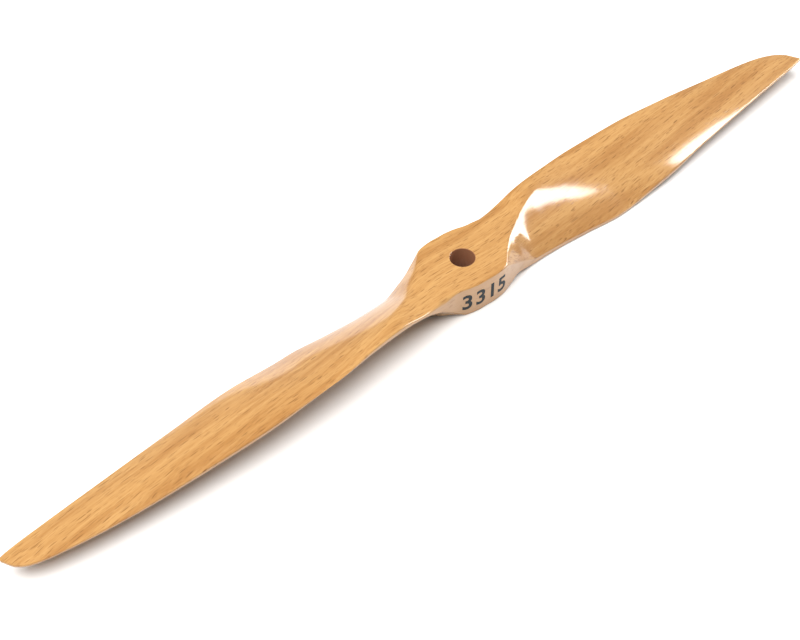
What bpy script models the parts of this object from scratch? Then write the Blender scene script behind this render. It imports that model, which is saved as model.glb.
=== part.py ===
"""Two-blade wooden model-aircraft propeller, 330 mm across, carved from one board of beech.

Frame: the bore's axis is Z. The hub's back face lies at z = 0 and its front face looks along +Z.
The blades lie along X. Seen from the front, the propeller turns anticlockwise, so the leading
edge of the blade on +X is its +Y edge. The other blade is the first one turned half a turn.
"""

import math

import bmesh
import bpy
import numpy as np

MM = 0.001

# Driving dimensions, in millimetres.
RADIUS = 165.1
HUB_THICKNESS = 12.0
BORE_RADIUS = 4.0
BORE_SIDES = 64
EDGE_ROUNDING = 0.9
EDGE_SHARE = 0.42
BACK_ROUNDING = 0.8
CROWN_STATION = 0.61

# Blade stations: distance from the axis, and the leading and trailing edge's distance from X.
OUTLINE = np.array([
    (0.0, 12.2, 12.2),
    (3.0, 12.0, 12.4),
    (6.0, 11.5, 12.2),
    (12.0, 10.0, 10.9),
    (18.0, 9.9, 9.8),
    (25.0, 10.3, 9.6),
    (34.0, 10.8, 10.0),
    (46.0, 11.5, 11.3),
    (62.0, 12.6, 13.2),
    (82.0, 12.5, 12.9),
    (105.0, 11.0, 10.9),
    (130.0, 8.4, 8.8),
    (150.0, 5.2, 7.2),
    (159.0, 2.5, 6.5),
    (163.0, -0.4, 6.0),
    (165.1, -4.4, 5.6),
])

# Blade stations: distance from the axis, then heights above the back face. The front surface
# runs from the trailing to the leading edge, and so does the back surface. Near the hub they
# pass out of the board, and the hub's two flat faces cut them off.
HEIGHTS = np.array([
    (0.0, 16.5, 45.3, -48.0, -4.0),
    (6.0, 12.9, 37.2, -38.0, -1.5),
    (12.0, 9.3, 29.1, -26.0, 3.2),
    (18.0, 5.7, 21.0, -14.0, 7.6),
    (25.0, 2.2, 18.3, -7.5, 10.7),
    (34.0, 1.8, 16.3, -4.0, 12.2),
    (46.0, 1.5, 14.3, -1.8, 12.5),
    (62.0, 1.3, 12.5, -0.4, 12.2),
    (82.0, 3.5, 11.8, 1.2, 10.4),
    (105.0, 4.8, 10.3, 3.7, 8.9),
    (130.0, 5.8, 8.4, 4.8, 7.5),
    (150.0, 6.4, 7.8, 5.4, 6.9),
    (165.1, 6.6, 6.4, 5.7, 5.5),
])

# Height of the front surface's crown over its chord, by distance from the axis.
CROWN = np.array([
    (0.0, 0.0),
    (15.0, 0.19),
    (25.0, 0.55),
    (40.0, 1.07),
    (50.0, 1.24),
    (60.0, 1.45),
    (75.0, 1.74),
    (90.0, 1.75),
    (110.0, 1.83),
    (130.0, 1.54),
    (165.1, 0.1),
])

# Where the flat front face ends towards the leading edge, and how far the shoulder beyond it
# has fallen at that edge, by distance from the axis.
SHOULDER = np.array([
    (0.0, 11.8, 0.0),
    (11.0, 10.0, 0.0),
    (15.0, 9.3, 0.2),
    (19.0, 8.2, 0.4),
    (23.0, 6.6, 0.5),
    (27.0, 4.8, 0.4),
    (32.0, 4.0, 0.0),
    (165.1, 0.0, 0.0),
])

# Distance from the axis, and the power that bows the front surface: below 1 it falls faster
# towards the trailing edge.
BELLY = np.array([
    (0.0, 1.0),
    (12.0, 1.0),
    (18.0, 0.82),
    (25.0, 0.85),
    (34.0, 0.84),
    (46.0, 0.85),
    (60.0, 0.91),
    (165.1, 1.0),
])

# Distance from the axis, and how widely the ridge between the flat face and the blade is rounded.
RIDGE = np.array([
    (0.0, 0.5),
    (8.0, 0.5),
    (14.0, 1.2),
    (20.0, 2.2),
    (27.0, 0.6),
    (36.0, 0.85),
    (165.1, 0.85),
])

# The front limit is the hub's flat face, and rises past the root to clear the blade.
LIMIT_RISE_START = 20.0
LIMIT_RISE_END = 38.0
LIMIT_RISE = 2.2

# Mesh layout: cells across the outer and middle strips of a face and along each edge's arcs, how
# far below the flat face the ridge's line runs, and where that line and the crease's may lie.
OUTER_CELLS = 5
MIDDLE_CELLS = 4
ARC_CELLS = 2
RIDGE_SEARCH_CELLS = 200
RIDGE_DROP = 0.2
RIDGE_STRIP = (0.1, 0.55)
CREASE_STRIP = (0.65, 0.9)
ROOT_END, ROOT_CELLS = 40.0, 16
BLADE_END, BLADE_CELLS = 148.0, 20
TIP_CELLS = 8

# The size mark stamped in ink on the hub's side: diameter and pitch in centimetres.
MARK_DIGITS = "3315"
MARK_POSITIONS = (-8.0, -3.2, 1.4, 5.6)
MARK_SIZE = 8.4
MARK_FOOT = 3.0
MARK_GAP = 0.3
MARK_DEPTH = 0.2
MARK_CURVE_STEPS = 4
SIDE_REACH = 1.0

CUTTER_LENGTH = 36.0
SHARP_ANGLE = 40.0
WOOD_ROUGHNESS = 0.28
INK_ROUGHNESS = 0.45

# Base colours are linear RGB.
WOOD_COLOUR = (0.74, 0.41, 0.17, 1.0)
INK_COLOUR = (0.035, 0.050, 0.052, 1.0)


def smooth_curve(table, column, x):
    """A curve through a table's rows that adds no bumps between them."""
    xs = table[:, 0]
    ys = table[:, column]
    steps = np.diff(xs)
    slopes = np.diff(ys) / steps
    tangents = np.zeros_like(ys)
    for i in range(1, len(xs) - 1):
        before, after = slopes[i - 1], slopes[i]
        if before * after > 0:
            w_before = 2 * steps[i] + steps[i - 1]
            w_after = steps[i] + 2 * steps[i - 1]
            tangents[i] = (w_before + w_after) / (w_before / before + w_after / after)
    tangents[0] = slopes[0]
    tangents[-1] = slopes[-1]
    k = np.clip(np.searchsorted(xs, x, side="right") - 1, 0, len(xs) - 2)
    t = (x - xs[k]) / steps[k]
    return (
        ys[k] * (1 + 2 * t) * (1 - t) ** 2
        + steps[k] * tangents[k] * t * (1 - t) ** 2
        + ys[k + 1] * t * t * (3 - 2 * t)
        + steps[k] * tangents[k + 1] * t * t * (t - 1)
    )


def soft_min(a, b, radius):
    """The lower of two heights, with the corner rounded where they differ by less than radius."""
    share = np.clip(0.5 + 0.5 * (b - a) / radius, 0, 1)
    return b * (1 - share) + a * share - radius * share * (1 - share)


def smooth_step(low, high, x):
    t = np.clip((x - low) / (high - low), 0, 1)
    return t * t * (3 - 2 * t)


def front_height(x, v):
    """Height of the front surface at distance x, v = 0 at the trailing and 1 at the leading edge."""
    trail = smooth_curve(HEIGHTS, 1, x)
    lead = smooth_curve(HEIGHTS, 2, x)
    skewed = np.where(
        v < CROWN_STATION,
        0.5 * v / CROWN_STATION,
        0.5 + 0.5 * (v - CROWN_STATION) / (1 - CROWN_STATION),
    )
    bowed = v ** smooth_curve(BELLY, 1, x)
    blade = trail * (1 - bowed) + lead * bowed
    blade = blade + smooth_curve(CROWN, 1, x) * 4 * skewed * (1 - skewed)
    lead_y = smooth_curve(OUTLINE, 1, x)
    trail_y = smooth_curve(OUTLINE, 2, x)
    y = -trail_y + (lead_y + trail_y) * v
    shoulder_y = smooth_curve(SHOULDER, 1, x)
    past = np.clip((y - shoulder_y) / (lead_y - shoulder_y), 0, 1)
    face = (
        HUB_THICKNESS
        + LIMIT_RISE * smooth_step(LIMIT_RISE_START, LIMIT_RISE_END, x)
        - smooth_curve(SHOULDER, 2, x) * past
    )
    return soft_min(blade, face, smooth_curve(RIDGE, 1, x))


def back_height(x, v):
    """Height of the back surface, which the hub's back face at z = 0 cuts off."""
    blade = smooth_curve(HEIGHTS, 3, x) * (1 - v) + smooth_curve(HEIGHTS, 4, x) * v
    return -soft_min(-blade, 0.0, BACK_ROUNDING)


def strip_lines(ridge, crease):
    """Places across a face: v-lines packed so that one follows the ridge and one the crease."""
    first = np.linspace(0.0, ridge, OUTER_CELLS + 1)[:-1]
    middle = np.linspace(ridge, crease, MIDDLE_CELLS + 1)[:-1]
    last = np.linspace(crease, 1.0, OUTER_CELLS + 1)
    return np.concatenate([first, middle, last])


def front_lines(x):
    """The ridge is where the blade's front surface leaves the hub's flat front face."""
    v = np.linspace(0, 1, RIDGE_SEARCH_CELLS + 1)
    stations = np.full_like(v, x)
    at_face = front_height(stations, v) > HUB_THICKNESS - RIDGE_DROP
    ridge = v[np.argmax(at_face)] if at_face.any() else max(RIDGE_STRIP)
    lead_y, trail_y = smooth_curve(OUTLINE, 1, x), smooth_curve(OUTLINE, 2, x)
    crease = (smooth_curve(SHOULDER, 1, x) + trail_y) / (lead_y + trail_y)
    return strip_lines(np.clip(ridge, *RIDGE_STRIP), np.clip(crease, *CREASE_STRIP))


def quarter_arc(centre_y, centre_z, radius, start, end):
    """Points strictly inside an arc from one angle to another, in degrees from +Y towards +Z."""
    angles = np.radians(np.linspace(start, end, ARC_CELLS + 1))[1:-1]
    return [(centre_y + radius * math.cos(a), centre_z + radius * math.sin(a)) for a in angles]


def section(x):
    """The blade's section at distance x, as four runs of (y, z) that go round it: the front
    from the leading edge, the trailing wall down, the back, and the leading wall up."""
    lead_y = float(smooth_curve(OUTLINE, 1, x))
    trail_y = float(smooth_curve(OUTLINE, 2, x))
    chord = lead_y + trail_y
    ends = np.array([0.0, 1.0])
    stations = np.full(2, x)
    thickness = front_height(stations, ends) - back_height(stations, ends)
    most = min(EDGE_ROUNDING, EDGE_SHARE * chord)
    trail_r, lead_r = np.minimum(EDGE_SHARE * thickness, most)
    low, high = trail_r / chord, 1 - lead_r / chord

    def run(lines, height):
        v = low + (high - low) * lines
        return list(zip(-trail_y + chord * v, height(np.full_like(v, x), v)))

    front = run(front_lines(x), front_height)[::-1]
    back = run(np.linspace(0, 1, 2 * OUTER_CELLS + MIDDLE_CELLS + 1), back_height)
    lead_top, trail_top = front[0][1], front[-1][1]
    trail_foot, lead_foot = back[0][1], back[-1][1]
    trail_in, lead_in = -trail_y + trail_r, lead_y - lead_r
    trail_wall = (
        quarter_arc(trail_in, trail_top - trail_r, trail_r, 90, 180)
        + [(-trail_y, trail_top - trail_r), (-trail_y, trail_foot + trail_r)]
        + quarter_arc(trail_in, trail_foot + trail_r, trail_r, 180, 270)
    )
    lead_wall = (
        quarter_arc(lead_in, lead_foot + lead_r, lead_r, -90, 0)
        + [(lead_y, lead_foot + lead_r), (lead_y, lead_top - lead_r)]
        + quarter_arc(lead_in, lead_top - lead_r, lead_r, 0, 90)
    )
    return front, trail_wall, back, lead_wall


def blade_stations():
    """Distances from the axis: close in the root, even along the blade, closer towards the tip."""
    root = np.linspace(0, ROOT_END, ROOT_CELLS + 1)[:-1]
    blade = np.linspace(ROOT_END, BLADE_END, BLADE_CELLS + 1)[:-1]
    turn = np.linspace(0, math.pi / 2, TIP_CELLS + 1)
    tip = BLADE_END + (RADIUS - BLADE_END) * np.sin(turn)
    return np.concatenate([root, blade, tip])


def propeller_loops():
    """Closed loops of points from one tip to the other, each starting at its +Y front edge."""
    near, far = [], []
    for x in blade_stations():
        front, trail_wall, back, lead_wall = section(x)
        near.append([(x, y, z) for y, z in front + trail_wall + back + lead_wall])
        if x > 0:
            turned = front[::-1] + lead_wall[::-1] + back[::-1] + trail_wall[::-1]
            far.append([(-x, -y, z) for y, z in turned])
    return far[::-1] + near


def material(name, colour, roughness):
    mat = bpy.data.materials.new(name)
    mat.use_nodes = True
    shader = mat.node_tree.nodes["Principled BSDF"]
    shader.inputs["Base Color"].default_value = colour
    shader.inputs["Roughness"].default_value = roughness
    shader.inputs["Metallic"].default_value = 0.0
    return mat


def finish(obj, mat):
    obj.data.materials.append(mat)
    bpy.context.scene.collection.objects.link(obj)
    if obj.type == "MESH":
        obj.data.shade_smooth()
        obj.data.set_sharp_from_angle(angle=math.radians(SHARP_ANGLE))
    return obj


def build_propeller(mat):
    loops = propeller_loops()
    bm = bmesh.new()
    rings = [[bm.verts.new((MM * x, MM * y, MM * z)) for x, y, z in loop] for loop in loops]
    for ring, following in zip(rings, rings[1:]):
        for k in range(len(ring)):
            after = (k + 1) % len(ring)
            bm.faces.new((ring[k], ring[after], following[after], following[k]))
    bm.faces.new(rings[0][::-1])
    bm.faces.new(rings[-1])
    bmesh.ops.recalc_face_normals(bm, faces=bm.faces)
    mesh = bpy.data.meshes.new("propeller")
    bm.to_mesh(mesh)
    bm.free()
    propeller = finish(bpy.data.objects.new("propeller", mesh), mat)

    cutter_mesh = bpy.data.meshes.new("bore_cutter")
    bm = bmesh.new()
    bmesh.ops.create_cone(
        bm,
        cap_ends=True,
        segments=BORE_SIDES,
        radius1=MM * BORE_RADIUS,
        radius2=MM * BORE_RADIUS,
        depth=MM * CUTTER_LENGTH,
    )
    bm.to_mesh(cutter_mesh)
    bm.free()
    cutter = bpy.data.objects.new("bore_cutter", cutter_mesh)
    cutter.location.z = MM * HUB_THICKNESS / 2
    cutter.hide_render = True
    cutter.display_type = "WIRE"
    bpy.context.scene.collection.objects.link(cutter)
    bore = propeller.modifiers.new("bore", "BOOLEAN")
    bore.operation = "DIFFERENCE"
    bore.solver = "EXACT"
    bore.object = cutter
    return propeller


def hub_side(x):
    """The hub's -Y side: its distance from X at this x, and its outward turn about Z."""
    def distance(at):
        return float(smooth_curve(OUTLINE, 1, -at) if at < 0 else smooth_curve(OUTLINE, 2, at))

    turn = math.atan2(distance(x - SIDE_REACH) - distance(x + SIDE_REACH), 2 * SIDE_REACH)
    return distance(x), turn


def build_size_mark(mat):
    """Each character is a thin slip of ink that stands upright on the hub's side."""
    for number, (digit, x) in enumerate(zip(MARK_DIGITS, MARK_POSITIONS), start=1):
        y, turn = hub_side(x)
        curve = bpy.data.curves.new(f"size_mark_{number}", "FONT")
        curve.body = digit
        curve.align_x = "CENTER"
        curve.size = MM * MARK_SIZE
        curve.extrude = MM * MARK_DEPTH / 2
        curve.resolution_u = MARK_CURVE_STEPS
        mark = bpy.data.objects.new(curve.name, curve)
        out = MARK_GAP + MARK_DEPTH / 2
        mark.location = (
            MM * (x + out * math.sin(turn)),
            -MM * (y + out * math.cos(turn)),
            MM * MARK_FOOT,
        )
        mark.rotation_euler = (math.pi / 2, 0.0, turn)
        finish(mark, mat)


def main():
    for obj in list(bpy.data.objects):
        bpy.data.objects.remove(obj)
    build_propeller(material("lacquered_beech", WOOD_COLOUR, WOOD_ROUGHNESS))
    build_size_mark(material("stamping_ink", INK_COLOUR, INK_ROUGHNESS))


main()
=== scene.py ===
"""Looks of the two-blade beech propeller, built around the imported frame.

The frame's Z axis is the bore, its X axis runs along the blades, and the hub's back face lies at
z = 0. Shapes are worked out in millimetres, and MM turns them into metres.
"""

import math

import bmesh
import bpy
import numpy as np
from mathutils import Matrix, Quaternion, Vector


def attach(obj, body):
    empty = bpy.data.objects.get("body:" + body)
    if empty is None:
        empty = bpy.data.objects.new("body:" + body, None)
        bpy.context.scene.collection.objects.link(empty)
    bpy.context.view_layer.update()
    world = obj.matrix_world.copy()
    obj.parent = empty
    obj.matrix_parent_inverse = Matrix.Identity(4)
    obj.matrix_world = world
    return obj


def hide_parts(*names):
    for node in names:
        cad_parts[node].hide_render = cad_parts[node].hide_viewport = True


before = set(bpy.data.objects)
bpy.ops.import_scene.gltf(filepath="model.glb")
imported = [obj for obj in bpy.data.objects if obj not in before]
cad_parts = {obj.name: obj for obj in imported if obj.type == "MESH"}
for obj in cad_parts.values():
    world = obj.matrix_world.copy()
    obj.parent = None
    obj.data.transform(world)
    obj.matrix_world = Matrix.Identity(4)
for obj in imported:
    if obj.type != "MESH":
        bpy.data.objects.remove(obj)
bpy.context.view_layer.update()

MM = 0.001

# Propeller shape: the CAD model's driving dimensions and station tables, with finer edges.
RADIUS = 165.1
HUB_THICKNESS = 12.0
BORE_RADIUS = 4.0
BACK_ROUNDING = 0.8
CROWN_STATION = 0.61

# Distance from the axis, and the leading and trailing edge's distance from X.
OUTLINE = np.array([
    (0.0, 12.2, 12.2),
    (3.0, 12.0, 12.4),
    (6.0, 11.5, 12.2),
    (12.0, 10.0, 10.9),
    (18.0, 9.9, 9.8),
    (25.0, 10.3, 9.6),
    (34.0, 10.8, 10.0),
    (46.0, 11.5, 11.3),
    (62.0, 12.6, 13.2),
    (82.0, 12.5, 12.9),
    (105.0, 11.0, 10.9),
    (130.0, 8.4, 8.8),
    (150.0, 5.2, 7.2),
    (159.0, 2.5, 6.5),
    (163.0, -0.4, 6.0),
    (165.1, -4.4, 5.6),
])

# Distance from the axis, then the front surface's height at the trailing and leading edge, and
# the back surface's.
HEIGHTS = np.array([
    (0.0, 16.5, 45.3, -48.0, -4.0),
    (6.0, 12.9, 37.2, -38.0, -1.5),
    (12.0, 9.3, 29.1, -26.0, 3.2),
    (18.0, 5.7, 21.0, -14.0, 7.6),
    (25.0, 2.2, 18.3, -7.5, 10.7),
    (34.0, 1.8, 16.3, -4.0, 12.2),
    (46.0, 1.5, 14.3, -1.8, 12.5),
    (62.0, 1.3, 12.5, -0.4, 12.2),
    (82.0, 3.5, 11.8, 1.2, 10.4),
    (105.0, 4.8, 10.3, 3.7, 8.9),
    (130.0, 5.8, 8.4, 4.8, 7.5),
    (150.0, 6.4, 7.8, 5.4, 6.9),
    (165.1, 6.6, 6.4, 5.7, 5.5),
])

# Distance from the axis, and the front surface's crown over its chord.
CROWN = np.array([
    (0.0, 0.0),
    (15.0, 0.19),
    (25.0, 0.55),
    (40.0, 1.07),
    (50.0, 1.24),
    (60.0, 1.45),
    (75.0, 1.74),
    (90.0, 1.75),
    (110.0, 1.83),
    (130.0, 1.54),
    (165.1, 0.1),
])

# Distance from the axis, where the flat front face ends towards the leading edge, and how far
# the shoulder beyond it has fallen at that edge.
SHOULDER = np.array([
    (0.0, 11.8, 0.0),
    (11.0, 10.0, 0.0),
    (15.0, 9.3, 0.2),
    (19.0, 8.2, 0.4),
    (23.0, 6.6, 0.5),
    (27.0, 4.8, 0.4),
    (32.0, 4.0, 0.0),
    (165.1, 0.0, 0.0),
])

# Distance from the axis, and the power that bows the front surface: below 1 it falls faster
# towards the trailing edge.
BELLY = np.array([
    (0.0, 1.0),
    (12.0, 1.0),
    (18.0, 0.82),
    (25.0, 0.85),
    (34.0, 0.84),
    (46.0, 0.85),
    (60.0, 0.91),
    (165.1, 1.0),
])

# Distance from the axis, and how widely the ridge between the flat face and the blade is rounded.
RIDGE = np.array([
    (0.0, 0.5),
    (8.0, 0.5),
    (14.0, 1.2),
    (20.0, 2.2),
    (27.0, 0.6),
    (36.0, 0.85),
    (165.1, 0.85),
])

# Distance from the axis, and the rounding of the trailing and leading edge where there is room.
# An edge's arc takes up to EDGE_SHARE of the thickness. It is fitted to the surface's slope in
# EDGE_PASSES rounds, and the slope is measured over SLOPE_REACH of the chord to either side.
EDGE_SHARE = 0.4
EDGE_PASSES = 3
SLOPE_REACH = 0.01
EDGES = np.array([
    (0.0, 0.45, 0.45),
    (7.0, 0.5, 0.5),
    (12.0, 1.6, 0.7),
    (17.0, 3.2, 1.8),
    (24.0, 3.2, 1.8),
    (32.0, 2.2, 1.1),
    (45.0, 0.9, 0.9),
    (165.1, 0.9, 0.9),
])

# The front limit is the hub's flat face, and rises past the root to clear the blade.
LIMIT_RISE_START = 20.0
LIMIT_RISE_END = 38.0
LIMIT_RISE = 2.2

# Fine mesh: the stations' spacing, and cells across the front, the back, an arc and a wall.
STATION_STEP = 0.6
FRONT_CELLS = 96
BACK_CELLS = 56
ARC_CELLS = 7
WALL_CELLS = 6
TIP_START = 160.0
TIP_CELLS = 24
SHARP_ANGLE = 38.0

# The bore: its rims are rounded, and the cutter reaches past the hub's faces.
BORE_SIDES = 96
BORE_RIM = 0.25
BORE_RIM_CELLS = 4
CUTTER_REACH = 1.5

# The size mark: the same digits and places as the CAD model's, lying on the hub's side. The
# digits' strokes are thickened, and cut into slices that follow the side's curve.
MARK_DIGITS = "3315"
MARK_POSITIONS = (-8.0, -3.2, 1.4, 5.6)
MARK_SIZE = 8.4
MARK_FOOT = 3.0
MARK_STROKE = 0.2
MARK_CURVE_STEPS = 8
MARK_SLICE = 0.25
MERGE_DISTANCE = 1e-5
INK_PROUD = 0.02
INK_DEPTH = 0.06
SIDE_REACH = 1.0

# Grain: the wood's fibres lie nearly along X. Away from the hub they lean towards +Y, and they
# bend back across the hub.
GRAIN_LEAN = 0.061
GRAIN_BEND = 1.57
GRAIN_BEND_REACH = 12.0
GRAIN_WANDER = 2.0
GRAIN_WANDER_CYCLES = (0.03, 0.06)

# Wood noise, in millimetres along and across the fibres.
BANDS = (70.0, 4.5)
LINES = (26.0, 0.9)
FIBRES = (7.0, 0.22)
INK_WEAR = (1.2, 0.35)

# Flecks: a cell's size and a dash's half size, each along the fibres, across them and in depth.
FLECK_CELL, FLECK_DASH = (5.0, 1.15, 1.8), (3.0, 0.18, 1.1)
SMALL_FLECK_CELL, SMALL_FLECK_DASH = (3.2, 0.7, 1.2), (2.0, 0.12, 0.8)
SMALL_FLECK_SHARE = 0.6
FLECK_SHARE = 0.66

# Upright sides are paler, up to SIDE_SHARE, and show fewer flecks: partly the side grain's own
# paler tone, partly a painted sheen. They count as sides while the normal's Z stays under
# SIDE_SLOPE. The bore is darkened with painted shade from its wall to a little past its rim.
SIDE_SLOPE = 0.40
SIDE_SHARE = 0.75
SIDE_FLECKS = 0.35
BORE_FADE_START = BORE_RADIUS + 0.02
BORE_FADE_END = BORE_RADIUS + 0.22

# Bumps: the distance is in millimetres.
WOOD_BUMP = 0.05
INK_BUMP = 0.02

# Colours are linear RGB.
WOOD_PALE = (0.405, 0.222, 0.076, 1.0)
WOOD_DEEP = (0.295, 0.138, 0.039, 1.0)
FLECK_COLOUR = (0.11, 0.036, 0.008, 1.0)
# The sides' colour: partly the side grain's own paler tone, partly a painted sheen.
SIDE_GRAIN_AND_SHEEN_COLOUR = (0.43, 0.26, 0.14, 1.0)
# The bore's colour: painted shade inside the recess.
BORE_SHADE_COLOUR = (0.25, 0.110, 0.058, 1.0)
INK_COLOUR = (0.010, 0.015, 0.018, 1.0)
INK_WORN = (0.085, 0.075, 0.062, 1.0)
FLOOR_COLOUR = (0.75, 0.735, 0.72, 1.0)

FLOOR_SIZE = 6.0
FLOOR_DROP = 0.02

# Lamps, in degrees and metres. The low one shines twice: the key shows only in reflections.
LIGHT_TARGET = Vector((0.05, 0.0, 0.005))
LOW_LAMP = {
    "azimuth": 73.5,
    "elevation": 28.1,
    "distance": 2.0,
    "width": 1.20,
    "height": 0.92,
    "roll": -36.8,
}
TOP_LAMP = {
    "azimuth": 250.0,
    "elevation": 74.0,
    "distance": 1.4,
    "width": 1.9,
    "height": 1.9,
    "roll": 0.0,
}
KEY_RADIANCE = 22.0
FILL_RADIANCE = 5.0
TOP_RADIANCE = 5.4
WORLD_STRENGTH = 0.34

CAMERA_EYE = Vector((-0.2199, -0.2220, 0.3278))
CAMERA_AIM = Vector((-0.0244, 0.0023, -0.0009))
CAMERA_ROLL = -0.98
CAMERA_LENS = 63.7


def smooth_curve(table, column, x):
    """A curve through a table's rows that adds no bumps between them."""
    xs = table[:, 0]
    ys = table[:, column]
    steps = np.diff(xs)
    slopes = np.diff(ys) / steps
    tangents = np.zeros_like(ys)
    for i in range(1, len(xs) - 1):
        before, after = slopes[i - 1], slopes[i]
        if before * after > 0:
            w_before = 2 * steps[i] + steps[i - 1]
            w_after = steps[i] + 2 * steps[i - 1]
            tangents[i] = (w_before + w_after) / (w_before / before + w_after / after)
    tangents[0] = slopes[0]
    tangents[-1] = slopes[-1]
    k = np.clip(np.searchsorted(xs, x, side="right") - 1, 0, len(xs) - 2)
    t = (x - xs[k]) / steps[k]
    return (
        ys[k] * (1 + 2 * t) * (1 - t) ** 2
        + steps[k] * tangents[k] * t * (1 - t) ** 2
        + ys[k + 1] * t * t * (3 - 2 * t)
        + steps[k] * tangents[k + 1] * t * t * (t - 1)
    )


def soft_min(a, b, radius):
    """The lower of two heights, with the corner rounded where they differ by less than radius."""
    share = np.clip(0.5 + 0.5 * (b - a) / radius, 0, 1)
    return b * (1 - share) + a * share - radius * share * (1 - share)


def smooth_step(low, high, x):
    t = np.clip((x - low) / (high - low), 0, 1)
    return t * t * (3 - 2 * t)


def front_height(x, v):
    """Height of the front surface at distance x, v = 0 at the trailing and 1 at the leading edge."""
    trail = smooth_curve(HEIGHTS, 1, x)
    lead = smooth_curve(HEIGHTS, 2, x)
    skewed = np.where(
        v < CROWN_STATION,
        0.5 * v / CROWN_STATION,
        0.5 + 0.5 * (v - CROWN_STATION) / (1 - CROWN_STATION),
    )
    bowed = v ** smooth_curve(BELLY, 1, x)
    blade = trail * (1 - bowed) + lead * bowed
    blade = blade + smooth_curve(CROWN, 1, x) * 4 * skewed * (1 - skewed)
    lead_y = smooth_curve(OUTLINE, 1, x)
    trail_y = smooth_curve(OUTLINE, 2, x)
    y = -trail_y + (lead_y + trail_y) * v
    shoulder_y = smooth_curve(SHOULDER, 1, x)
    past = np.clip((y - shoulder_y) / (lead_y - shoulder_y), 0, 1)
    face = (
        HUB_THICKNESS
        + LIMIT_RISE * smooth_step(LIMIT_RISE_START, LIMIT_RISE_END, x)
        - smooth_curve(SHOULDER, 2, x) * past
    )
    return soft_min(blade, face, smooth_curve(RIDGE, 1, x))


def back_height(x, v):
    """Height of the back surface, which the hub's back face at z = 0 cuts off."""
    blade = smooth_curve(HEIGHTS, 3, x) * (1 - v) + smooth_curve(HEIGHTS, 4, x) * v
    return -soft_min(-blade, 0.0, BACK_ROUNDING)


def hand_over(height, x, chord, radius, leading, turn):
    """Where a surface meets an edge's arc, and its slope there in degrees.

    The arc touches the upright wall, so it starts further in where the surface leans away.
    """
    inset = radius
    for _ in range(EDGE_PASSES):
        v = 1 - inset / chord if leading else inset / chord
        places = np.clip([v - SLOPE_REACH, v + SLOPE_REACH], 0, 1)
        low, high = height(np.full(2, x), places)
        slope = math.atan2(high - low, chord * (places[1] - places[0]))
        inset = radius * (1 + turn * math.sin(slope))
    return v, math.degrees(slope)


def arc(start, radius, first, last):
    """Points round an arc, from just after its start; angles in degrees from +Y towards +Z."""
    centre_y = start[0] - radius * math.cos(math.radians(first))
    centre_z = start[1] - radius * math.sin(math.radians(first))
    angles = np.radians(np.linspace(first, last, ARC_CELLS + 1))[1:]
    return [(centre_y + radius * math.cos(a), centre_z + radius * math.sin(a)) for a in angles]


def wall(start, end):
    """Points strictly between two ends of an upright wall."""
    return [(start[0], z) for z in np.linspace(start[1], end[1], WALL_CELLS + 1)[1:-1]]


def section(x):
    """The blade's section at distance x, as four runs of (y, z) that go round it."""
    lead_y = float(smooth_curve(OUTLINE, 1, x))
    trail_y = float(smooth_curve(OUTLINE, 2, x))
    chord = lead_y + trail_y
    stations, ends = np.full(2, x), np.array([0.0, 1.0])
    front_ends, back_ends = front_height(stations, ends), back_height(stations, ends)
    lean = math.cos(math.atan2(back_ends[1] - back_ends[0], chord))
    most = [smooth_curve(EDGES, 1, x), smooth_curve(EDGES, 2, x)]
    room = EDGE_SHARE * np.minimum((front_ends - back_ends) * lean, chord)
    trail_r, lead_r = np.minimum(most, room)

    front_low, trail_front = hand_over(front_height, x, chord, trail_r, False, -1)
    front_high, lead_front = hand_over(front_height, x, chord, lead_r, True, 1)
    back_low, trail_back = hand_over(back_height, x, chord, trail_r, False, 1)
    back_high, lead_back = hand_over(back_height, x, chord, lead_r, True, -1)

    def run(cells, height, low, high):
        v = np.linspace(low, high, cells + 1)
        return list(zip(-trail_y + chord * v, height(np.full_like(v, x), v)))

    front = run(FRONT_CELLS, front_height, front_low, front_high)[::-1]
    back = run(BACK_CELLS, back_height, back_low, back_high)
    trail_down = arc(front[-1], trail_r, 90 + trail_front, 180)
    trail_up = arc(back[0], trail_r, 270 + trail_back, 180)
    lead_up = arc(back[-1], lead_r, lead_back - 90, 0)
    lead_down = arc(front[0], lead_r, 90 + lead_front, 0)
    trail_wall = trail_down + wall(trail_down[-1], trail_up[-1]) + trail_up[::-1]
    lead_wall = lead_up + wall(lead_up[-1], lead_down[-1]) + lead_down[::-1]
    return front, trail_wall, back, lead_wall


def blade_stations():
    """Distances from the axis: even along the blade, closer towards the tip."""
    cells = round(TIP_START / STATION_STEP)
    blade = np.linspace(0, TIP_START, cells + 1)[:-1]
    turn = np.linspace(0, math.pi / 2, TIP_CELLS + 1)
    return np.concatenate([blade, TIP_START + (RADIUS - TIP_START) * np.sin(turn)])


def propeller_mesh():
    """Closed loops from one tip to the other, each starting at its +Y front edge."""
    near, far = [], []
    for x in blade_stations():
        front, trail_wall, back, lead_wall = section(x)
        near.append([(x, y, z) for y, z in front + trail_wall + back + lead_wall])
        if x > 0:
            turned = front[::-1] + lead_wall[::-1] + back[::-1] + trail_wall[::-1]
            far.append([(-x, -y, z) for y, z in turned])
    loops = far[::-1] + near
    around = len(loops[0])
    points = [(MM * x, MM * y, MM * z) for loop in loops for x, y, z in loop]
    faces = []
    for row in range(len(loops) - 1):
        here, there = row * around, (row + 1) * around
        for k in range(around):
            after = (k + 1) % around
            faces.append((here + k, here + after, there + after, there + k))
    faces.append(tuple(range(around))[::-1])
    faces.append(tuple(range((len(loops) - 1) * around, len(loops) * around)))
    mesh = bpy.data.meshes.new("propeller_wood")
    mesh.from_pydata(points, [], faces)
    bm = bmesh.new()
    bm.from_mesh(mesh)
    bmesh.ops.recalc_face_normals(bm, faces=bm.faces)
    bm.to_mesh(mesh)
    bm.free()
    return mesh


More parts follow.
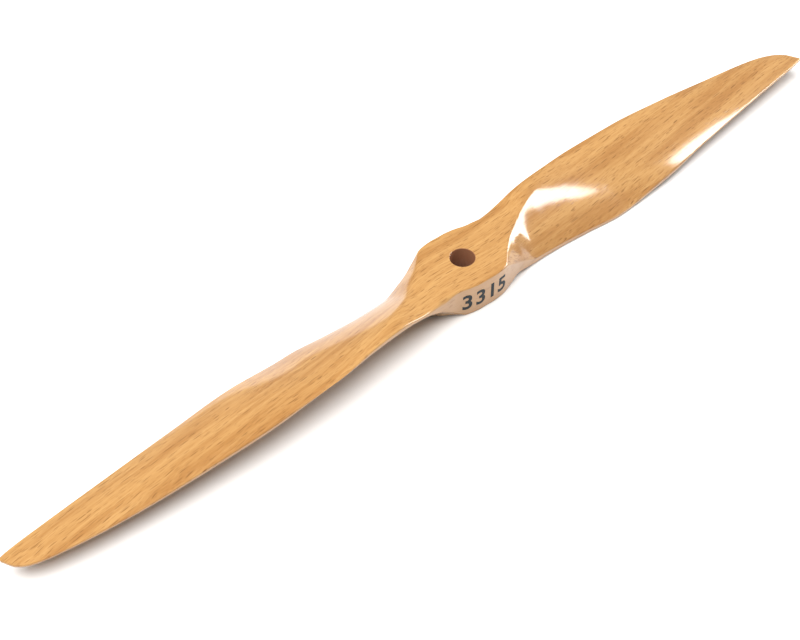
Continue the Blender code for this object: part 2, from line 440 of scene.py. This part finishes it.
def bore_cutter():
    """A cylinder whose ends flare out past the hub's faces, so that it rounds the bore's rims."""
    turn = np.linspace(0, math.pi / 2, BORE_RIM_CELLS + 1)
    rounding = [
        (BORE_RADIUS + BORE_RIM * (1 - math.sin(a)), BORE_RIM * (1 - math.cos(a))) for a in turn
    ]
    outside = [(BORE_RADIUS + BORE_RIM + CUTTER_REACH, -CUTTER_REACH)]
    low = outside + rounding
    high = [(r, HUB_THICKNESS - z) for r, z in low][::-1]
    profile = low + high
    rings = []
    bm = bmesh.new()
    for r, z in profile:
        ring = []
        for k in range(BORE_SIDES):
            a = 2 * math.pi * k / BORE_SIDES
            ring.append(bm.verts.new((MM * r * math.cos(a), MM * r * math.sin(a), MM * z)))
        rings.append(ring)
    for ring, following in zip(rings, rings[1:]):
        for k in range(BORE_SIDES):
            after = (k + 1) % BORE_SIDES
            bm.faces.new((ring[k], ring[after], following[after], following[k]))
    bm.faces.new(rings[0][::-1])
    bm.faces.new(rings[-1])
    bmesh.ops.recalc_face_normals(bm, faces=bm.faces)
    mesh = bpy.data.meshes.new("bore_cutter")
    bm.to_mesh(mesh)
    bm.free()
    return link(bpy.data.objects.new("bore_cutter", mesh))


def link(obj):
    bpy.context.scene.collection.objects.link(obj)
    return obj


def apply_modifiers(obj):
    graph = bpy.context.evaluated_depsgraph_get()
    obj.data = bpy.data.meshes.new_from_object(obj.evaluated_get(graph))
    obj.modifiers.clear()


class Nodes:
    """A material's node tree, built with short calls that return output sockets."""

    def __init__(self, name):
        self.material = bpy.data.materials.new(name)
        self.material.use_nodes = True
        self.tree = self.material.node_tree
        self.shader = self.tree.nodes["Principled BSDF"]

    def add(self, kind, inputs, output=0, **settings):
        node = self.tree.nodes.new(kind)
        for key, value in settings.items():
            setattr(node, key, value)
        for key, value in inputs.items():
            self.feed(node.inputs[key], value)
        return node.outputs[output]

    def feed(self, socket, value):
        if isinstance(value, bpy.types.NodeSocket):
            self.tree.links.new(value, socket)
        else:
            socket.default_value = value

    def set(self, **values):
        """Gives the shader's sockets numbers, colours or links."""
        for key, value in values.items():
            self.feed(self.shader.inputs[key.replace("_", " ")], value)

    def math(self, operation, *values):
        return self.add("ShaderNodeMath", dict(enumerate(values)), operation=operation)

    def vector(self, operation, *values):
        inputs = dict(enumerate(values))
        output = "Value" if operation == "LENGTH" else "Vector"
        return self.add("ShaderNodeVectorMath", inputs, output, operation=operation)

    def split(self, vector):
        node = self.tree.nodes.new("ShaderNodeSeparateXYZ")
        self.tree.links.new(vector, node.inputs[0])
        return node.outputs

    def join(self, x, y, z):
        return self.add("ShaderNodeCombineXYZ", {0: x, 1: y, 2: z})

    def noise(self, vector, detail):
        return self.add("ShaderNodeTexNoise", {"Vector": vector, "Scale": 1.0, "Detail": detail})

    def remap(self, value, low, high, to_low=0.0, to_high=1.0):
        """A smooth step from one value to another while the input runs from low to high."""
        inputs = {0: value, 1: low, 2: high, 3: to_low, 4: to_high}
        return self.add("ShaderNodeMapRange", inputs, interpolation_type="SMOOTHSTEP")

    def mix(self, share, a, b):
        node = self.tree.nodes.new("ShaderNodeMix")
        node.data_type = "RGBA"
        self.feed(node.inputs["Factor"], share)
        self.feed(node.inputs[6], a)
        self.feed(node.inputs[7], b)
        return node.outputs[2]

    def bump(self, height, strength, distance):
        inputs = {"Height": height, "Strength": strength, "Distance": MM * distance}
        return self.add("ShaderNodeBump", inputs)


def fleck_cells(nodes, grain, cell, dash):
    """Short dark dashes, one to a cell, each with its own length and darkness from 0 to 1."""
    scaled = nodes.vector("DIVIDE", nodes.join(*grain), cell)
    voronoi = nodes.tree.nodes.new("ShaderNodeTexVoronoi")
    nodes.feed(voronoi.inputs["Vector"], scaled)
    nodes.feed(voronoi.inputs["Scale"], 1.0)
    offset = nodes.vector("SUBTRACT", scaled, voronoi.outputs["Position"])
    reach = nodes.vector("MULTIPLY", offset, tuple(c / d for c, d in zip(cell, dash)))
    length, strength, _ = nodes.split(voronoi.outputs["Color"])
    along, across, depth = nodes.split(reach)
    along = nodes.math("DIVIDE", along, nodes.remap(length, 0.0, 1.0, 0.4, 1.0))
    away = nodes.vector("LENGTH", nodes.join(along, across, depth))
    inside = nodes.remap(away, 0.5, 1.0, 1.0, 0.0)
    return nodes.math("MULTIPLY", inside, nodes.remap(strength, 0.0, 1.0, 0.35, 1.0))


def position(nodes):
    """Position in the object, in millimetres."""
    place = nodes.add("ShaderNodeTexCoord", {}, output=3)
    return nodes.split(nodes.vector("MULTIPLY", place, (1 / MM, 1 / MM, 1 / MM)))


def distance_from_axis(nodes):
    x, y, _ = position(nodes)
    squares = nodes.math("ADD", nodes.math("MULTIPLY", x, x), nodes.math("MULTIPLY", y, y))
    return nodes.math("SQRT", squares)


def grain_coordinates(nodes):
    """Position in millimetres, straightened along the wood's fibres."""
    x, y, z = position(nodes)
    bend = nodes.math("TANH", nodes.math("DIVIDE", x, GRAIN_BEND_REACH))
    bend = nodes.math("MULTIPLY", bend, GRAIN_BEND)
    lean = nodes.math("SUBTRACT", nodes.math("MULTIPLY", x, GRAIN_LEAN), bend)
    cycles_x = nodes.math("MULTIPLY", x, GRAIN_WANDER_CYCLES[0])
    cycles_y = nodes.math("MULTIPLY", y, GRAIN_WANDER_CYCLES[1])
    wander = nodes.noise(nodes.join(cycles_x, cycles_y, z), 1.0)
    wander = nodes.math("MULTIPLY", nodes.math("SUBTRACT", wander, 0.5), GRAIN_WANDER)
    across = nodes.math("ADD", nodes.math("SUBTRACT", y, lean), wander)
    return x, across, z


def stretched_noise(nodes, grain, size, detail=3.0):
    """Noise drawn out along the fibres, with features of a size along and across them."""
    x, y, z = grain
    along, across = size
    vector = nodes.join(
        nodes.math("DIVIDE", x, along),
        nodes.math("DIVIDE", y, across),
        nodes.math("DIVIDE", z, across),
    )
    return nodes.noise(vector, detail)


def beech():
    nodes = Nodes("lacquered_beech")
    grain = grain_coordinates(nodes)
    bands = stretched_noise(nodes, grain, BANDS)
    lines = stretched_noise(nodes, grain, LINES)
    fibres = stretched_noise(nodes, grain, FIBRES, detail=2.0)
    tone = nodes.remap(bands, 0.38, 0.64, 0.0, 0.70)
    tone = nodes.math("ADD", tone, nodes.remap(lines, 0.3, 0.7, 0.0, 0.40))
    tone = nodes.math("ADD", tone, nodes.remap(fibres, 0.3, 0.7, -0.12, 0.18))
    wood = nodes.mix(tone, WOOD_PALE, WOOD_DEEP)

    flecks = fleck_cells(nodes, grain, FLECK_CELL, FLECK_DASH)
    small_flecks = fleck_cells(nodes, grain, SMALL_FLECK_CELL, SMALL_FLECK_DASH)
    small_flecks = nodes.math("MULTIPLY", small_flecks, SMALL_FLECK_SHARE)
    flecks = nodes.math("MAXIMUM", flecks, small_flecks)

    normal = nodes.add("ShaderNodeTexCoord", {}, output=1)
    slope = nodes.math("ABSOLUTE", nodes.split(normal)[2])
    # Upright sides turn paler: partly the side grain's own tone, partly a painted sheen.
    side = nodes.remap(slope, 0.0, SIDE_SLOPE, 1.0, 0.0)
    wood = nodes.mix(nodes.math("MULTIPLY", side, SIDE_SHARE), wood, SIDE_GRAIN_AND_SHEEN_COLOUR)
    shown = nodes.math("MULTIPLY", flecks, nodes.remap(side, 0.0, 1.0, 1.0, SIDE_FLECKS))
    wood = nodes.mix(nodes.math("MULTIPLY", shown, FLECK_SHARE), wood, FLECK_COLOUR)
    # The bore and a little past its rim are darkened with painted shade.
    bore = nodes.remap(distance_from_axis(nodes), BORE_FADE_START, BORE_FADE_END, 1.0, 0.0)
    wood = nodes.mix(bore, wood, BORE_SHADE_COLOUR)

    outside = nodes.math("SUBTRACT", 1.0, bore)
    relief = nodes.math("SUBTRACT", fibres, nodes.math("MULTIPLY", shown, 0.8))
    under_coat = nodes.bump(relief, nodes.math("MULTIPLY", outside, 0.25), WOOD_BUMP)
    on_coat = nodes.bump(relief, nodes.math("MULTIPLY", outside, 0.10), WOOD_BUMP)
    nodes.set(
        Base_Color=wood,
        Roughness=0.6,
        Specular_IOR_Level=0.05,
        Normal=under_coat,
        Coat_Weight=nodes.remap(bore, 0.0, 1.0, 1.0, 0.25),
        Coat_Roughness=0.09,
        Coat_IOR=1.5,
        Coat_Normal=on_coat,
    )
    return nodes.material


def ink():
    nodes = Nodes("stamping_ink")
    wear = stretched_noise(nodes, grain_coordinates(nodes), INK_WEAR)
    colour = nodes.mix(nodes.remap(wear, 0.55, 0.80), INK_COLOUR, INK_WORN)
    nodes.set(
        Base_Color=colour,
        Roughness=0.6,
        Specular_IOR_Level=0.15,
        Coat_Weight=0.2,
        Coat_Roughness=0.2,
        Normal=nodes.bump(wear, 0.2, INK_BUMP),
    )
    return nodes.material


def build_propeller(mat):
    propeller = link(bpy.data.objects.new("propeller_wood", propeller_mesh()))
    cutter = bore_cutter()
    bore = propeller.modifiers.new("bore", "BOOLEAN")
    bore.operation = "DIFFERENCE"
    bore.solver = "EXACT"
    bore.object = cutter
    apply_modifiers(propeller)
    bpy.data.objects.remove(cutter)
    propeller.data.materials.clear()
    propeller.data.materials.append(mat)
    propeller.data.shade_smooth()
    propeller.data.set_sharp_from_angle(angle=math.radians(SHARP_ANGLE))
    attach(propeller, "root")
    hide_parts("propeller")


def side_distance(x):
    """The hub's -Y side: its distance from X."""
    return float(smooth_curve(OUTLINE, 1, -x) if x < 0 else smooth_curve(OUTLINE, 2, x))


def side_turn(x):
    """The hub's -Y side: its outward turn about Z."""
    fall = side_distance(x - SIDE_REACH) - side_distance(x + SIDE_REACH)
    return math.atan2(fall, 2 * SIDE_REACH)


def slice_mesh(mesh, places):
    """Cuts a mesh along planes across X, so that it can bend; merges its doubled corners."""
    bm = bmesh.new()
    bm.from_mesh(mesh)
    bmesh.ops.remove_doubles(bm, verts=bm.verts, dist=MERGE_DISTANCE)
    for place in places:
        geometry = bm.verts[:] + bm.edges[:] + bm.faces[:]
        bmesh.ops.bisect_plane(bm, geom=geometry, plane_co=(place, 0, 0), plane_no=(1, 0, 0))
    bm.to_mesh(mesh)
    bm.free()


def build_mark(number, digit, x, mat):
    """A digit printed on the hub's side: a thin slip that follows the side's curve."""
    curve = bpy.data.curves.new(f"mark_{number}", "FONT")
    curve.body = digit
    curve.align_x = "CENTER"
    curve.size = MARK_SIZE
    curve.extrude = 0.5
    curve.offset = MARK_STROKE
    curve.resolution_u = MARK_CURVE_STEPS
    text = link(bpy.data.objects.new(f"mark_{number}", curve))
    graph = bpy.context.evaluated_depsgraph_get()
    mesh = bpy.data.meshes.new_from_object(text.evaluated_get(graph))
    bpy.data.objects.remove(text)
    slice_mesh(mesh, np.arange(-MARK_SIZE / 2, MARK_SIZE / 2, MARK_SLICE))
    for vertex in mesh.vertices:
        across, up, out = vertex.co
        at = x + across * math.cos(side_turn(x))
        turn = side_turn(at)
        proud = INK_PROUD if out > 0 else INK_PROUD - INK_DEPTH
        vertex.co = (
            MM * (at + proud * math.sin(turn)),
            -MM * (side_distance(at) + proud * math.cos(turn)),
            MM * (MARK_FOOT + up),
        )
    mesh.materials.append(mat)
    mark = link(bpy.data.objects.new(f"ink_mark_{number}", mesh))
    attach(mark, "root")
    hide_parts(f"size_mark_{number}")


def build_floor():
    bpy.ops.mesh.primitive_plane_add(size=FLOOR_SIZE, location=(0, 0, -FLOOR_DROP * MM))
    floor = bpy.context.object
    floor.name = "floor"
    nodes = Nodes("pale_floor")
    nodes.set(Base_Color=FLOOR_COLOUR, Roughness=0.75)
    floor.data.materials.append(nodes.material)


def direction(azimuth, elevation):
    """A unit vector: azimuth 0 looks from -Y, positive towards +X."""
    a, e = math.radians(azimuth), math.radians(elevation)
    return Vector((math.sin(a) * math.cos(e), -math.cos(a) * math.cos(e), math.sin(e)))


def softbox(name, radiance, azimuth, elevation, distance, width, height, roll):
    """A rectangular lamp of a given radiance, turned towards the middle of the blade."""
    lamp = bpy.data.lights.new(name, "AREA")
    lamp.shape = "RECTANGLE"
    lamp.size = width
    lamp.size_y = height
    lamp.energy = radiance * math.pi * width * height
    obj = link(bpy.data.objects.new(name, lamp))
    obj.location = LIGHT_TARGET + distance * direction(azimuth, elevation)
    turn = (-direction(azimuth, elevation)).to_track_quat("-Z", "Y")
    obj.rotation_euler = (turn @ Quaternion((0.0, 0.0, 1.0), math.radians(roll))).to_euler()
    return obj


def build_lights():
    key = softbox("key", KEY_RADIANCE, **LOW_LAMP)
    key.visible_diffuse = False
    softbox("fill", FILL_RADIANCE, **LOW_LAMP)
    top = softbox("top", TOP_RADIANCE, **TOP_LAMP)
    top.visible_glossy = False


def build_world():
    world = bpy.data.worlds.new("studio")
    bpy.context.scene.world = world
    world.use_nodes = True
    background = world.node_tree.nodes["Background"]
    background.inputs["Color"].default_value = (1.0, 1.0, 1.0, 1.0)
    background.inputs["Strength"].default_value = WORLD_STRENGTH


def build_camera():
    camera = bpy.data.cameras.new("camera")
    camera.lens = CAMERA_LENS
    camera.clip_start = 0.01
    obj = link(bpy.data.objects.new("camera", camera))
    obj.location = CAMERA_EYE
    turn = (CAMERA_AIM - CAMERA_EYE).to_track_quat("-Z", "Y")
    roll = Quaternion((0.0, 0.0, 1.0), math.radians(CAMERA_ROLL))
    obj.rotation_euler = (turn @ roll).to_euler()
    bpy.context.scene.camera = obj


build_camera()
build_propeller(beech())
ink_material = ink()
for index, (mark_digit, mark_x) in enumerate(zip(MARK_DIGITS, MARK_POSITIONS), start=1):
    build_mark(index, mark_digit, mark_x, ink_material)
build_floor()
build_lights()
build_world()
bpy.context.scene.view_settings.view_transform = "Standard"
